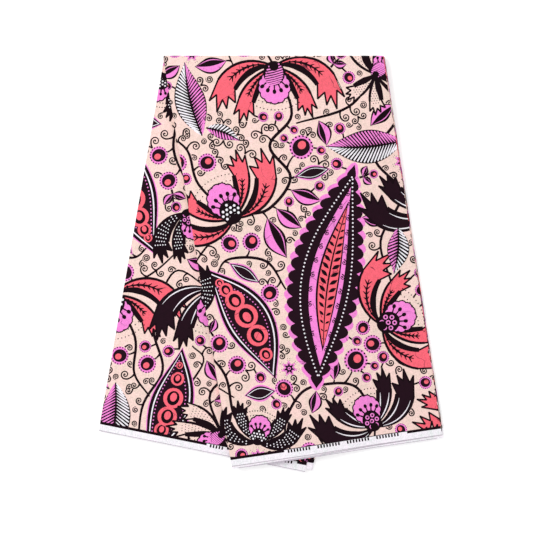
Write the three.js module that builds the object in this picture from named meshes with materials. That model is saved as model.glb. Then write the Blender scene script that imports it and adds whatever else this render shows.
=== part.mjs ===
// A six-yard length of wax-printed cotton, folded flat as it is sold.
// The cloth is pleated back and forth into eighteen layers a foot wide. The long, flat pack is
// then folded once, half way along, on a line that isn't quite square to it. So its two legs
// spread apart like a pair of compasses, and the front leg lies on the back leg.
// +X runs along the folded edge, +Y from the open ends to the folded edge, +Z up from the floor.
// The pack's outermost and innermost thicknesses of cloth are walls of their own. The hidden
// layers between them are one solid, ridged at the pleated sides and stepped at the selvedges.
import * as THREE from "three";

// Sizes in millimetres and degrees.
const PACK_THICKNESS = 6.4; // eighteen layers of cotton, as they settle
const CLOTH_WALL = 1.0; // stands for one thickness of cloth, which is really 0.3
const SEAM_GAP = 0.4;
const LEGS_GAP = 0.4; // between the two legs where one lies on the other
const FOLDED_EDGE = 310; // length of the edge where the pack turns over
const TURN_DEPTH = 5.6; // how far the pressed turn bulges past the flat legs
const DROP = 80; // the front leg comes down to the floor over this distance
const DROP_MARGIN = 3.5; // it stays up this far past the back leg's edge

// The legs' sides: how far each leans from the square, and how long it is from the folded edge.
// A positive lean goes to the right. The selvedge joins the ends of the two sides.
const LEGS = {
  front: { leftLean: 9.5, leftLength: 583, rightLean: 8.95, rightLength: 538 },
  back: { leftLean: -9.95, leftLength: 533, rightLean: -9.95, rightLength: 590 },
};

// The edges of the two walls: how far they fall short of the pack's left and right sides, and
// how far their selvedges stick out past each leg's end at those sides. The back leg's top
// thickness lies askew, so it also falls short of the right side by this much at the selvedge.
const OUTER = { left: 0, right: 0, frontLeft: 0, frontRight: 0, backLeft: 0, backRight: 0 };
const INNER = { left: 0, right: 0.4, frontLeft: -0.6, frontRight: -1, backLeft: 0, backRight: 4 };
const INNER_ASKEW = 7.3;

// The hidden layers, from the innermost to the outermost, in groups that lie together.
const GROUPS = [
  { left: 0.9, right: 1.9, frontLeft: 0.5, frontRight: -1.5, backLeft: -1.0, backRight: 0.0 },
  { left: 1.6, right: 0.9, frontLeft: -1.0, frontRight: 0.5, backLeft: 0.8, backRight: -1.2 },
  { left: 0.4, right: 0.4, frontLeft: 1.2, frontRight: -0.8, backLeft: -0.6, backRight: 0.6 },
  { left: 1.2, right: 0.2, frontLeft: 0.2, frontRight: 1.0, backLeft: 0.4, backRight: -0.8 },
  { left: 0.3, right: 0.6, frontLeft: 1.6, frontRight: 0.2, backLeft: -1.4, backRight: 0.8 },
  { left: 1.4, right: 1.1, frontLeft: -0.4, frontRight: 1.8, backLeft: 1.0, backRight: -0.4 },
  { left: 0.8, right: 2.0, frontLeft: 3.4, frontRight: 4.0, backLeft: 0.2, backRight: -1.0 },
];
const GROOVE = 0.6; // how deep the grooves between the groups are

// The mesh. Its first columns and rows inside the edges are at a fixed distance from the pack's
// sides and selvedges, so that neighbouring solids share one grid there.
const RIM = 9;
const COLUMNS_ON_BACK = 5; // of the front leg, where it lies on the back leg
const COLUMNS_COMING_DOWN = 6;
const COLUMNS_ON_FLOOR = 3;
const MIDDLE_COLUMNS = COLUMNS_ON_BACK + COLUMNS_COMING_DOWN + COLUMNS_ON_FLOOR + 2;
const LEAST_SPACING = 1.5;
const LEG_ROWS = 16;
const TURN_ROWS = 10;

const LIFT = PACK_THICKNESS + LEGS_GAP; // the front leg's underside, where it lies on the back leg
const TURN_HEIGHT = PACK_THICKNESS + LEGS_GAP / 2; // the middle of the turn, above the floor

// The point on a leg's side at a distance from the folded edge.
function sidePoint(leg, side, distance) {
  const lean = THREE.MathUtils.degToRad(LEGS[leg][side + "Lean"]);
  const start = side === "left" ? -FOLDED_EDGE / 2 : FOLDED_EDGE / 2;
  return new THREE.Vector2(start + distance * Math.sin(lean), -distance * Math.cos(lean));
}

// How far a plan point is past the back leg's right side, and past its selvedge.
const pastLine = (point, from, to) =>
  point.clone().sub(from).cross(to.clone().sub(from).normalize());
const backTop = sidePoint("back", "right", 0);
const backRight = sidePoint("back", "right", LEGS.back.rightLength);
const backLeft = sidePoint("back", "left", LEGS.back.leftLength);
const pastSide = (point) => pastLine(point, backRight, backTop) - DROP_MARGIN;
const pastSelvedge = (point) => pastLine(point, backLeft, backRight) - DROP_MARGIN;

// How high the front leg is lifted at a plan point.
function lift(point) {
  const past = Math.max(pastSide(point), pastSelvedge(point), 0);
  return LIFT * (1 - THREE.MathUtils.smoothstep(past, 0, DROP));
}

// Evenly spaced values between two others.
const between = (from, to, count) =>
  Array.from({ length: count }, (_, i) => from + ((i + 1) * (to - from)) / (count + 1));

// How far a row's middle columns are from the pack's left side. In the front leg they follow the
// line along which it comes down off the back leg.
function middleColumns(leg, left, right) {
  const width = left.distanceTo(right);
  if (leg !== "front") return between(RIM, width - RIM, MIDDLE_COLUMNS);
  const crossing = (width * -pastSide(left)) / (pastSide(right) - pastSide(left));
  const least = RIM + (COLUMNS_ON_BACK + 1) * LEAST_SPACING;
  const lastDrop = width - RIM - (COLUMNS_ON_FLOOR + 1) * LEAST_SPACING;
  const lastTop = lastDrop - (COLUMNS_COMING_DOWN + 1) * LEAST_SPACING;
  const top = THREE.MathUtils.clamp(crossing, least, lastTop);
  const bottom = Math.min(top + DROP, lastDrop);
  return [
    ...between(RIM, top, COLUMNS_ON_BACK),
    top,
    ...between(top, bottom, COLUMNS_COMING_DOWN),
    bottom,
    ...between(bottom, width - RIM, COLUMNS_ON_FLOOR),
  ];
}

// One row of points across the pack at a level. A row is on a leg, at a distance from the folded
// edge given as a share of the leg, or else at an angle of the turn.
function packRow(row, level, edge) {
  const leg = row.leg ?? "turn";
  const point = (side) => {
    if (leg === "turn") return sidePoint("front", side, 0);
    const past = row.atSelvedge ? edge[leg + (side === "left" ? "Left" : "Right")] : 0;
    return sidePoint(leg, side, row.share * LEGS[leg][side + "Length"] + past);
  };
  const [left, right] = [point("left"), point("right")];
  const width = left.distanceTo(right);
  const askew = edge === INNER && leg === "back" ? INNER_ASKEW * row.share : 0;
  const short = edge.right + askew;
  const middle = middleColumns(leg, left, right);
  const distances = [edge.left, RIM, ...middle, width - RIM, width - short];
  return distances.map((distance) => {
    const plan = left.clone().lerp(right, distance / width);
    if (leg === "front") return [plan.x, plan.y, lift(plan) + level];
    if (leg === "back") return [plan.x, plan.y, PACK_THICKNESS - level];
    const angle = THREE.MathUtils.degToRad(row.angle);
    const radius = LEGS_GAP / 2 + level;
    const depth = (TURN_DEPTH * radius) / TURN_HEIGHT;
    return [plan.x, depth * Math.cos(angle), TURN_HEIGHT + radius * Math.sin(angle)];
  });
}

// The rows of a leg from its selvedge to the turn, and of the turn from its front to its back.
function legRows(leg, toTurn) {
  const shares = Array.from({ length: LEG_ROWS - 1 }, (_, i) => 1 - (i + 1) / LEG_ROWS);
  const { leftLength } = LEGS[leg];
  return [
    { leg, share: 1, atSelvedge: true },
    { leg, share: 1 - RIM / leftLength },
    ...shares.map((share) => ({ leg, share })),
    ...(toTurn ? [{ leg, share: SEAM_GAP / leftLength }] : []),
  ];
}
const turnRows = Array.from({ length: TURN_ROWS + 1 }, (_, i) => ({
  angle: 90 - (180 * i) / TURN_ROWS,
}));

// A closed solid through levels of the pack. Its first and last levels are whole faces, and the
// levels between them are rings round its edge.
function layeredSolid(name, rows, levels, material) {
  const columns = MIDDLE_COLUMNS + 4;
  const rim = [];
  for (let j = 0; j < columns; j++) rim.push([0, j]);
  for (let i = 1; i < rows.length; i++) rim.push([i, columns - 1]);
  for (let j = columns - 2; j >= 0; j--) rim.push([rows.length - 1, j]);
  for (let i = rows.length - 2; i > 0; i--) rim.push([i, 0]);

  const points = [];
  const indices = [];
  const rings = levels.map(({ level, edge }, k) => {
    const grid = rows.map((row) => packRow(row, level, edge));
    const isFace = k === 0 || k === levels.length - 1;
    const first = points.length;
    if (!isFace) {
      points.push(...rim.map(([i, j]) => grid[i][j]));
      return rim.map((_, n) => first + n);
    }
    points.push(...grid.flat());
    const index = (i, j) => first + i * columns + j;
    for (let i = 0; i + 1 < rows.length; i++) {
      for (let j = 0; j + 1 < columns; j++) {
        const [a, b, c, d] = [index(i, j), index(i, j + 1), index(i + 1, j + 1), index(i + 1, j)];
        indices.push(...(k === 0 ? [a, c, b, a, d, c] : [a, b, c, a, c, d]));
      }
    }
    return rim.map(([i, j]) => index(i, j));
  });
  for (let k = 0; k + 1 < rings.length; k++) {
    for (let n = 0; n < rim.length; n++) {
      const next = (n + 1) % rim.length;
      const [a, b, c, d] = [rings[k][n], rings[k][next], rings[k + 1][next], rings[k + 1][n]];
      indices.push(a, b, c, a, c, d);
    }
  }
  const geometry = new THREE.BufferGeometry();
  geometry.setAttribute("position", new THREE.Float32BufferAttribute(points.flat(), 3));
  geometry.setIndex(indices);
  geometry.computeVertexNormals();
  const mesh = new THREE.Mesh(geometry, material);
  mesh.name = name;
  return mesh;
}

// A groove's edge is drawn in behind the groups on both sides of it.
function drawnIn(one, other) {
  const edge = {};
  for (const key of Object.keys(one)) {
    const fallsShort = key === "left" || key === "right";
    edge[key] = fallsShort
      ? Math.max(one[key], other[key]) + GROOVE
      : Math.min(one[key], other[key]) - GROOVE;
  }
  return edge;
}

// The levels of the hidden layers: each group's edge half way up it, with grooves between.
function groupLevels(low, high) {
  const step = (high - low) / GROUPS.length;
  const levels = GROUPS.flatMap((group, i) => [
    { level: low + (i + 0.5) * step, edge: group },
    { level: low + (i + 1) * step, edge: drawnIn(group, GROUPS[i + 1] ?? group) },
  ]);
  return [{ level: low, edge: drawnIn(GROUPS[0], GROUPS[0]) }, ...levels];
}

const wallLevels = (low, edge) => [{ level: low, edge }, { level: low + CLOTH_WALL, edge }];

const printedCotton = new THREE.MeshStandardMaterial({
  name: "printed_cotton",
  color: 0xf0cdb8,
  roughness: 0.75,
  metalness: 0,
});
const foldedCotton = new THREE.MeshStandardMaterial({
  name: "folded_cotton",
  color: 0xd9b3b0,
  roughness: 0.8,
  metalness: 0,
});

const outerLow = PACK_THICKNESS - CLOTH_WALL;
const outerWall = wallLevels(outerLow, OUTER);
const innerWall = wallLevels(0, INNER);
const hidden = groupLevels(CLOTH_WALL + SEAM_GAP, outerLow - SEAM_GAP);
const frontRows = legRows("front", true);
const backRows = legRows("back", true).toReversed();
const allRows = [...legRows("front", false), ...turnRows, ...legRows("back", false).toReversed()];

const pack = new THREE.Group();
pack.add(
  layeredSolid("outer_front", frontRows, outerWall, printedCotton),
  layeredSolid("outer_turn", turnRows, outerWall, printedCotton),
  layeredSolid("outer_under", backRows, outerWall, printedCotton),
  layeredSolid("inner_back", backRows, innerWall, printedCotton),
  layeredSolid("inner_front", frontRows, innerWall, printedCotton),
  layeredSolid("hidden_layers", allRows, hidden, foldedCotton),
);

// The origin is on the floor, under the middle of the pack.
const middle = new THREE.Box3().setFromObject(pack).getCenter(new THREE.Vector3());
pack.position.set(-middle.x, -middle.y, 0);

export default pack;
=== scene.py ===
import math
import random

import bpy
import numpy as np
from mathutils.geometry import delaunay_2d_cdt
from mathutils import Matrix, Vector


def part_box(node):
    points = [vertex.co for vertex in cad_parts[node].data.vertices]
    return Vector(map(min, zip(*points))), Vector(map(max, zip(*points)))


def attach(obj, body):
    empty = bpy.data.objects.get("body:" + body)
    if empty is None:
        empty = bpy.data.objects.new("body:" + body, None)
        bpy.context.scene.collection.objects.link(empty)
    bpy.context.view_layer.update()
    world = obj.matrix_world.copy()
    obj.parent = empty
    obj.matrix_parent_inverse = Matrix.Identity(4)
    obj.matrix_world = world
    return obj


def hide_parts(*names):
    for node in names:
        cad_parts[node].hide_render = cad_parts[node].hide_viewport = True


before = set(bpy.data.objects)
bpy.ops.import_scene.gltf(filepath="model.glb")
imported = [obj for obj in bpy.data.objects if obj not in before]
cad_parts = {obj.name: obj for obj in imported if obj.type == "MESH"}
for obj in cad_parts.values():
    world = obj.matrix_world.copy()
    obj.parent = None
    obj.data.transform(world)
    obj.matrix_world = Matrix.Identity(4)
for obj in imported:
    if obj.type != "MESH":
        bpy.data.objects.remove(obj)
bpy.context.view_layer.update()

# The print
# The cloth is plain-woven cotton, wax printed in orchid, coral and near black on a pale ground,
# the same on both sides. Its design of leaves, flowers and berries is drawn here on the flat
# cloth, in millimetres from a corner of one repeat, and comes again with each turn of the rollers.
REPEAT_ACROSS = 420.0
REPEAT_ALONG = 577.0
# The colours of the dry cloth, 0 to 255. edge is painted shade: a grey line along the outer edge of
# each selvedge, standing in for the shadow at each layer's edge.
INKS = {
    "ground": (244, 213, 204),
    "orchid": (246, 137, 216),
    "coral": (248, 104, 120),
    "plum": (32, 9, 22),
    "black": (21, 3, 12),
    "white": (246, 241, 248),
    "edge": (196, 187, 198),
}
# The wax spreads, so lines print this much bolder than they are drawn.
BOLDNESS = 1.65
# The print as ink names and outlines. A later shape lies over the ones before it.
shapes = []


class Pen:
    """Lays ink on the cloth from a place, turned so many degrees to the left, at a size."""

    def __init__(self, place=(0, 0), turn=0, size=1.0, mirrored=False):
        angle = math.radians(turn)
        across = np.array((math.cos(angle), math.sin(angle))) * (-size if mirrored else size)
        along = np.array((-math.sin(angle), math.cos(angle))) * size
        self.place = np.array(place, float)
        self.axes = np.array((across, along))

    def on(self, points):
        return self.place + np.asarray(points, float) @ self.axes

    def at(self, place, turn=0, size=1.0, mirrored=False):
        inner = Pen(place, turn, size, mirrored)
        inner.place = self.on(inner.place)
        inner.axes = inner.axes @ self.axes
        return inner

    def fill(self, ink, points):
        shapes.append((ink, self.on(points)))

    def line(self, ink, points, *widths):
        """A stroke that goes through these widths, evenly spaced along it."""
        points = np.asarray(points, float)
        normals = sideways(points)
        width = np.interp(shares(points), np.linspace(0, 1, len(widths)), widths)
        half = width[:, None] * BOLDNESS / 2
        self.fill(ink, np.concatenate((points + normals * half, (points - normals * half)[::-1])))

    def dot(self, ink, place, radius, long=1.0, sides=8):
        angles = np.arange(sides) * math.tau / sides
        self.fill(ink, np.asarray(place, float) + circle(angles, long) * radius)

    def dots(self, ink, places, radius, sides=7):
        for place in places:
            self.dot(ink, place, radius, sides=sides)


def circle(angles, long=1.0):
    """Points on a circle, or on an oval so long for its width."""
    return np.stack((np.cos(angles), np.sin(angles) * long), 1)


def length_of(line):
    return np.sum(np.linalg.norm(np.diff(line, axis=0), axis=1))


def shares(points):
    """How far along a line each of its points is, from 0 to 1."""
    reach = np.concatenate(((0,), np.cumsum(np.linalg.norm(np.diff(points, axis=0), axis=1))))
    return reach / reach[-1]


def sideways(points):
    """The direction to the left of a line at each of its points."""
    slopes = np.gradient(points, axis=0)
    normals = np.stack((-slopes[:, 1], slopes[:, 0]), 1)
    return normals / np.linalg.norm(normals, axis=1)[:, None]


def curve(*knots, steps=8):
    """Points on a smooth line through the knots."""
    knots = np.array(knots, float)
    ends = 2 * knots[:1] - knots[1:2], 2 * knots[-1:] - knots[-2:-1]
    knots = np.concatenate((ends[0], knots, ends[1]))
    t = np.arange(steps)[:, None] / steps
    pieces = []
    for a, b, c, d in zip(knots, knots[1:], knots[2:], knots[3:]):
        square = a - 2.5 * b + 2 * c - d / 2
        cube = 1.5 * (b - c) + (d - a) / 2
        pieces.append(b + t * (c - a) / 2 + t**2 * square + t**3 * cube)
    return np.concatenate((*pieces, knots[-2:-1]))


def bent(length, turn, steps=10):
    """Points forward from the pen, on an arc that turns left by so many degrees in all."""
    angles = np.radians(np.linspace(0, turn, steps + 1))
    middle = (angles[1:] + angles[:-1]) / 2
    hops = np.stack((-np.sin(middle), np.cos(middle)), 1) * length / steps
    return np.concatenate((np.zeros((1, 2)), np.cumsum(hops, axis=0)))


def along(line, share):
    """The point at a share of a line."""
    reach = shares(line)
    return np.array((np.interp(share, reach, line[:, 0]), np.interp(share, reach, line[:, 1])))


def spaced(line, gap, start=0.0):
    """Points spaced evenly along a line."""
    length = length_of(line)
    return along(line, np.arange(start, length, gap) / length).T


def leaf_edges(length, width, bow=0.0, steps=14, widest=0.5):
    """The left and right edges of a leaf from its base to its tip. widest is how far along it
    is widest, and bow is how far its middle bows to the left."""
    t = np.linspace(0, 1, steps + 1)
    swell = np.sin(math.pi * t ** (math.log(0.5) / math.log(widest))) ** 1.1
    spine = np.stack((-bow * np.sin(math.pi * t), t * length), 1)
    half = sideways(spine) * swell[:, None] * width / 2
    return spine + half, spine - half


def outline(edges):
    left, right = edges
    return np.concatenate((left, right[-2:0:-1]))


def leaf(*sizes, **more):
    return outline(leaf_edges(*sizes, **more))


def toward(edge, other, share):
    return edge + (other - edge) * share


def curl(pen, length, turn, radius, width=1.2):
    """A tendril: a bent stem that winds up in a spiral, to the left if turn is positive."""
    side = 1 if turn > 0 else -1
    width = min(width, radius * 0.26)
    stem = bent(length, turn * 0.4, 5)
    heading = math.radians(90 + turn * 0.4)
    centre = stem[-1] + radius * side * np.array((-math.sin(heading), math.cos(heading)))
    turns = min(1.4, radius / 2.5)
    wound = np.linspace(0, turns * math.tau, 4 + int(turns * 11))
    shrunk = radius * (0.06 + 0.94 * (1 - wound / wound[-1]) ** 0.8)[:, None]
    angles = heading + side * (wound - math.pi / 2)
    coil = centre + circle(angles) * shrunk
    pen.line("black", np.concatenate((stem[:-1], coil)), width * 1.25, width, width * 0.8, width)
    pen.dot("black", coil[-1], width * 0.85)


def whorl(pen, radius):
    """A plain spiral, wound close."""
    turns = radius / 2.6
    wound = np.linspace(0, turns * math.tau, int(turns * 15))
    shrunk = radius * (1 - 0.88 * wound / wound[-1])[:, None]
    pen.line("black", circle(wound) * shrunk, 0.4, 1.0, 1.0, 1.0)


def berry(pen, radius):
    """A dark berry with a coral spot, in an orchid glow with a ring of dots."""
    pen.dot("orchid", (0, 0), radius, sides=20)
    dots = 19
    ring = np.arange(dots) * math.tau / dots
    pen.dots("black", circle(ring) * radius * 0.92, radius * 0.085, 6)
    pen.dot("plum", (0, -radius * 0.02), radius * 0.70, 1.1, 18)
    pen.dot("coral", (radius * 0.08, radius * 0.16), radius * 0.33, 1.1, 14)


def split_leaf(pen, length, width):
    """A dark leaf with one half orchid, and a fine orchid line along the other half's edge."""
    left, right = leaf_edges(length, width, width * 0.14)
    rim = leaf(length * 1.05, width + 5.5, width * 0.14)
    pen.at((0, -length * 0.02)).fill("black", rim)
    pen.fill("orchid", outline((left, toward(left, right, 0.46))))
    pen.fill("orchid", outline((toward(left, right, 0.90), toward(left, right, 0.97))))


def dark_leaf(pen, length, width):
    """A dark leaf in an orchid glow, with a fine pale line inside its edge."""
    pen.at((0, -length * 0.04)).fill("orchid", leaf(length * 1.06, width * 1.24))
    pen.fill("black", leaf(length, width))
    for ink, share in (("white", 0.74), ("plum", 0.65)):
        inside = leaf(length * (share + 0.14), width * share)
        pen.at((0, length * (0.86 - share) / 2)).fill(ink, inside)


def hatched_leaf(pen, length, width, bow=5.0):
    """A leaf with slanted bars, pale on one side and orchid on the other."""
    edges = leaf_edges(length, width, bow, steps=18, widest=0.46)
    spine = (edges[0] + edges[1]) / 2
    pen.fill("black", outline(edges))
    bar_gap = 4.2
    bars = int(length / bar_gap)
    for side, ink in zip(edges, ("white", "orchid")):
        for share in np.arange(1, bars) / bars:
            root = toward(along(spine, share - 0.035), along(side, share - 0.035), 0.07)
            ahead = min(share + 0.075, 0.995)
            end = toward(along(side, ahead), along(spine, ahead), 0.07)
            pen.line(ink, (root, (root + end) / 2, end), 0.5, 1.3, 1.2)
    pen.line("black", spine, 1.2, 1.6, 0.8)


def pod(pen, length, width, bow):
    """A long dark pod with a pale line round it, and a row of coral peas between rows of dots."""
    for ink, grown in (("orchid", 5.0), ("black", 3.4), ("white", -1.2), ("plum", -3.2)):
        layer = leaf(length + grown * 2.4, width + grown * 2, bow, steps=26)
        pen.at((0, -grown * 1.2)).fill(ink, layer)
    for edge in leaf_edges(length * 0.84, width * 0.74, bow * 0.9, steps=24):
        pen.at((0, length * 0.08)).dots("orchid", spaced(edge, 5.2, 5), 1.0)
    left, right = leaf_edges(length, width, bow, steps=22)
    spine = (left + right) / 2
    reach = length * 0.12
    while reach < length * 0.88:
        half = np.interp(reach, left[:, 1], np.linalg.norm(left - right, axis=1) / 2)
        radius = half * 0.56
        pea = pen.at((np.interp(reach, spine[:, 1], spine[:, 0]), reach))
        pea.dot("coral", (0, 0), radius, 1.0, 20)
        pea.dot("black", (0, 0), radius * 0.62, 1.15, 16)
        pea.dot("coral", (0, radius * 0.1), radius * 0.34, 1.3, 12)
        reach += half * 0.66 + radius * 0.62 + 1.6


def scallops(edge, spine, gap, depth, glow):
    """The edge of a leaf with round lobes so far apart and so deep, or of the glow round it."""
    lobes = max(3, round(length_of(edge) / gap))
    share = np.linspace(0, 1, lobes * 6 + 1)
    points = along(edge, share).T
    middle = np.stack((np.interp(points[:, 1], spine[:, 1], spine[:, 0]), points[:, 1]), 1)
    out = points - middle
    far = np.linalg.norm(out, axis=1)[:, None] + 1e-6
    round_lobe = np.abs(np.sin(share * lobes * math.pi))[:, None] ** 0.7
    return points + out / far * (np.minimum(far * 0.5, depth) * round_lobe + glow)


def lobed_leaf(pen, length, width, bow):
    """A very long dark leaf with round lobes, an orchid field, and a coral core with dark seeds."""
    def edges(share, wide):
        ahead = np.array((0, length * (1 - share) / 2))
        sides = leaf_edges(length * share, wide, bow * share, steps=30, widest=0.47)
        return [side + ahead for side in sides]

    sides = edges(1.0, width)
    spine = (sides[0] + sides[1]) / 2
    for ink, glow in (("orchid", 3.4), ("plum", 0)):
        lobed = [scallops(side, spine, 19, 8.5, glow) for side in edges(1 + glow / 160, width)]
        pen.fill(ink, outline(lobed))
    for edge in edges(0.9, width * 0.78):
        pen.dots("white", spaced(edge, 5.6, 3), 1.25, 8)
    pen.fill("orchid", outline(edges(0.8, width * 0.54)))
    for edge, side in zip(edges(0.78, width * 0.45), (1, -1)):
        for point in spaced(edge, 21, 26):
            curl(pen.at(point, 100 * side, 1, side < 0), 5, 120, 3.2)
    core = edges(0.64, width * 0.3)
    pen.fill("black", outline(edges(0.67, width * 0.3 + 5.0)))
    pen.fill("coral", outline(core))
    middle = (core[0] + core[1]) / 2
    for point in spaced(middle, 11, 12):
        half = np.interp(point[1], core[0][:, 1], np.linalg.norm(core[0] - core[1], axis=1) / 2)
        for side in (-1, 1):
            seed = leaf(half * 1.05, half * 0.42, steps=8)
            pen.at(point, 52 * side).at((0, half * 0.2)).fill("black", seed)
    pen.line("black", middle, 0.6, 1.5, 0.6)


def petal(pen, length, turn, width, kind):
    """A petal that bends to the left and has a jagged tip. kind is coral, outline, dotted or
    dark."""
    steps = 16
    spine = bent(length, turn, steps)
    normals = sideways(spine)
    ahead = np.stack((normals[:, 1], -normals[:, 0]), 1)
    swell = np.minimum(np.linspace(0, 1, steps + 1) / 0.72, 1)
    half = width / 2 * np.sin(swell * math.pi / 2) ** 1.25

    def on(share, across):
        near = min(share, 1) * steps
        k = min(int(near), steps - 1)
        spot = toward(spine[k], spine[k + 1], near - k)
        return spot + ahead[k] * max(share - 1, 0) * length + normals[k] * half[k] * across

    last = int(steps * 0.74)
    left = (spine + normals * half[:, None])[: last + 1]
    right = (spine - normals * half[:, None])[: last + 1]
    # The jagged tip's corners: shares of the petal's length, and of half its width.
    tips = (
        (0.93, 1.25), (0.85, 0.60), (1.05, 0.45), (0.89, -0.10), (1.0, -0.55), (0.83, -0.65),
        (0.90, -1.45),
    )
    jag = np.array([left[-1], *[on(*tip) for tip in tips], right[-1]])
    body = {"coral": "coral", "outline": "ground", "dotted": "black", "dark": "plum"}[kind]
    pen.fill(body, np.concatenate((left[:-1], jag, right[-2::-1])))
    pen.line("black", left, 1.8, 2.4, 2.0)
    pen.line("black", right, 1.8, 5.6, 3.6)
    for a, b in zip(jag, jag[1:]):
        reach = (b - a) / np.linalg.norm(b - a) * 0.5
        pen.line("black", (a - reach, (a + b) / 2, b + reach), 1.5, 1.5)
    if kind == "coral":
        pen.line("black", spine[2 : int(steps * 0.7)], 0.6, 2.0, 0.8)
        for k in range(3, int(steps * 0.68)):
            for side in (-1, 1):
                end = spine[k] + (ahead[k] * 0.45 + normals[k] * side * 0.42) * half[k]
                pen.line("black", (spine[k], (spine[k] + end) / 2, end), 1.5, 1.1, 0.5)
    elif kind == "dark":
        for side in (-1, 1):
            inside = spine + normals * half[:, None] * 0.7 * side
            pen.line("white", inside[2:last], 0.3, 1.0, 1.0, 0.3)
    else:
        ink, radius = ("black", 0.75) if kind == "outline" else ("white", 0.95)
        gap = 3.6
        for k in range(3, last + 2):
            places = (np.arange(-9, 10) + (k % 2) * 0.5) * gap
            for place in places[np.abs(places) < half[k] * 0.82]:
                pen.dot(ink, spine[k] + normals[k] * place, radius, sides=6)


def seed_head(pen, size, kind):
    """A dark cup of seeds under a frilled orchid top with pins. kind is dots, rings or bars."""
    round_top = np.radians(np.linspace(-75, 255, 13))
    frill = np.stack((np.cos(round_top) * 0.62, 1.15 + np.sin(round_top) * 0.66), 1) * size
    pen.dots("black", frill, size * 0.25 + 1.8, 12)
    pen.dots("orchid", frill, size * 0.25, 12)
    pen.dot("orchid", (0, size * 1.12), size * 0.7, sides=18)
    for lean in (-48, -24, 0, 24, 48):
        pin = pen.at((0, size * 0.5), lean)
        pin.line("black", ((0, size * 0.2), (0, size * 0.5), (0, size * 0.82)), 1.8, 1.0)
        pin.dot("black", (0, size * 0.9), size * 0.11, 1.25)
    cup = pen.at((0, size * 0.38))
    cup.dot("black", (0, 0), size * 0.6, 1.15, 18)
    if kind == "bars":
        for y in np.arange(-4, 5) * size * 0.13:
            wide = math.sqrt(1 - (y / (size * 0.66)) ** 2) * size * 0.5
            cup.line("orchid", ((-wide, y), (0, y + wide * 0.3), (wide, y + wide * 0.5)), 1.1)
        return
    gap = size * (0.235 if kind == "dots" else 0.34)
    for row in range(-2, 3):
        for column in range(-2, 3):
            seed = np.array((column + 0.5 * (row % 2), row * 0.95)) * gap
            if np.linalg.norm(seed) > size * 0.5:
                continue
            if kind == "dots":
                cup.dot("white", seed, size * 0.075)
            else:
                cup.dot("orchid", seed, size * 0.14, sides=10)
                cup.dot("black", seed, size * 0.07)


# The petals of a flower that cups upwards, and of one that sprays all round. A petal turns away
# from straight ahead, to each side by turns, and its length and width are shares of the size.
CUP = (
    {"turn": 118, "long": 1.36, "bend": 124, "wide": 0.32},
    {"turn": -108, "long": 1.28, "bend": 112, "wide": 0.31},
    {"turn": 66, "long": 1.0, "bend": 62, "wide": 0.23},
    {"turn": -60, "long": 1.05, "bend": 58, "wide": 0.24},
)
SPRAY = (
    {"turn": 96, "long": 1.15, "bend": 60, "wide": 0.30},
    {"turn": -96, "long": 1.15, "bend": 60, "wide": 0.30},
    {"turn": 54, "long": 1.2, "bend": 24, "wide": 0.27},
    {"turn": -54, "long": 1.2, "bend": 24, "wide": 0.27},
    {"turn": 176, "long": 0.8, "bend": 20, "wide": 0.26},
    {"turn": -150, "long": 0.85, "bend": 20, "wide": 0.26},
)


def flower(pen, size, kind, seeds, petals=CUP):
    """A flower seen from the side: petals that bend back round a head of seeds."""
    for each in petals:
        base = pen.at((0, 0), each["turn"], 1, each["turn"] < 0)
        petal(base, size * each["long"], -each["bend"], size * each["wide"], kind)
    seed_head(pen, size * 0.29, seeds)
    pen.dot("black", (0, 0), size * 0.075, sides=12)
    for reach, spread in ((0.60, 44), (0.70, 34)):
        angles = np.radians(90 + np.linspace(-spread, spread, 15))
        pen.dots("black", circle(angles) * size * reach, 0.95, 6)


def star_flower(pen, size):
    """A small dark star with an orchid glow and rays of dots."""
    points = 7
    angles = np.arange(points * 2) * math.pi / points
    reach = np.where(np.arange(points * 2) % 2, 0.5, 1.0)[:, None] * size
    star = np.stack((np.sin(angles), np.cos(angles)), 1)[::-1]
    pen.fill("orchid", star * (reach * 1.15 + 2.2))
    pen.fill("black", star * reach)
    pen.dot("orchid", (0, 0), size * 0.27, sides=10)
    pen.dot("black", (0, 0), size * 0.12)
    for i in range(points):
        ray = pen.at((0, 0), (i + 0.5) * 360 / points)
        for reach in size * 0.95 + np.arange(3) * 3:
            ray.dots("black", ((-1.5, reach), (1.5, reach)), 0.55, 6)


class Room:
    """Keeps what is taken on the repeat as discs, which also count over the repeat's edges."""

    def __init__(self):
        self.discs = np.empty((0, 3))

    def take(self, pen, discs):
        scale = np.linalg.norm(pen.axes[1])
        taken = [(*pen.on((x, y)), radius * scale) for x, y, radius in discs]
        self.discs = np.concatenate((self.discs, taken))

    def left(self, points, others):
        """How far each point is from all that is taken, and from other discs."""
        discs = np.concatenate((self.discs, others))
        repeat = np.array((REPEAT_ACROSS, REPEAT_ALONG))
        apart = (np.asarray(points, float)[:, None] - discs[None, :, :2]) % repeat
        apart = np.minimum(apart, repeat - apart)
        return (np.linalg.norm(apart, axis=2) - discs[:, 2]).min(axis=1)


def leaf_discs(length, width, bow=0.0):
    """The room a leaf takes, as discs along it."""
    return [
        (-bow * math.sin(math.pi * t), length * t, width / 2 * math.sin(math.pi * t) + 1)
        for t in np.linspace(0.05, 0.95, max(5, int(length / 16)))
    ]


# The room the two flowers take: each disc's place and radius, as shares of the size.
CUP_DISCS = (
    (0, 0.35, 0.45), (0.5, 0.25, 0.35), (-0.5, 0.25, 0.35), (0.74, 0.6, 0.3), (-0.74, 0.6, 0.3),
    (0.45, 0.8, 0.2), (-0.45, 0.8, 0.2),
)
SPRAY_DISCS = ((0, 0.1, 0.75), (0.75, 0.2, 0.4), (-0.75, 0.2, 0.4), (0, 0.6, 0.6))

room = Room()
large = []


def reserve(draw, place, turn, discs, *sizes):
    """Takes room for a large motif, which is drawn last, over the stems."""
    pen = Pen(place, turn)
    room.take(pen, discs)
    large.append((draw, pen, sizes))


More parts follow.
